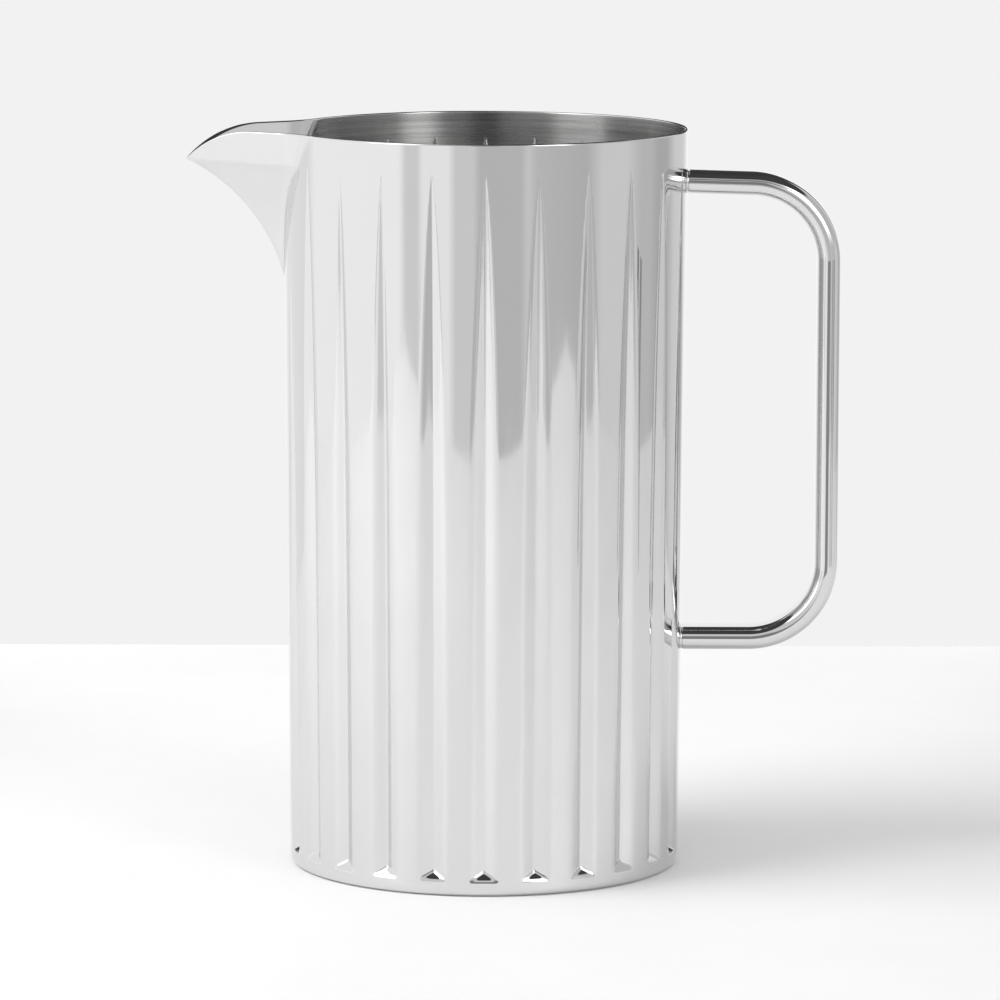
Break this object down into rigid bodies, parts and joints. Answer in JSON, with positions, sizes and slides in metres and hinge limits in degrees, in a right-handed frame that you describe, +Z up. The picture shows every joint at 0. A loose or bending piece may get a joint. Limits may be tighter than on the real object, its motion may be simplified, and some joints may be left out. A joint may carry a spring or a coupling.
{
  "type": "water pitcher",
  "caption": "Straight-sided fluted metal water pitcher with a beak spout and a rounded rectangular loop handle.",
  "frame": {"origin": "on the body's axis, in the plane of the flat ring that it stands on", "axes": "+Z up along the body's axis, the spout towards -X and the handle towards +X, the handle and the spout's fold in the XZ plane"},
  "size_m": [0.2021, 0.1246, 0.229],
  "materials": {
    "polished_body": "mirror polished outside, fine horizontal brushing inside",
    "polished_spout": "mirror polished",
    "polished_handle": "mirror polished",
    "dressed_weld": "ground flush and polished"
  },
  "bodies": {
    "root": {"body_shell": "polished_body", "base_pan": "polished_body", "spout": "polished_spout", "handle_tube": "polished_handle", "base_weld": "dressed_weld", "spout_weld": "dressed_weld", "upper_handle_weld": "dressed_weld", "lower_handle_weld": "dressed_weld"}
  },
  "joints": []
}
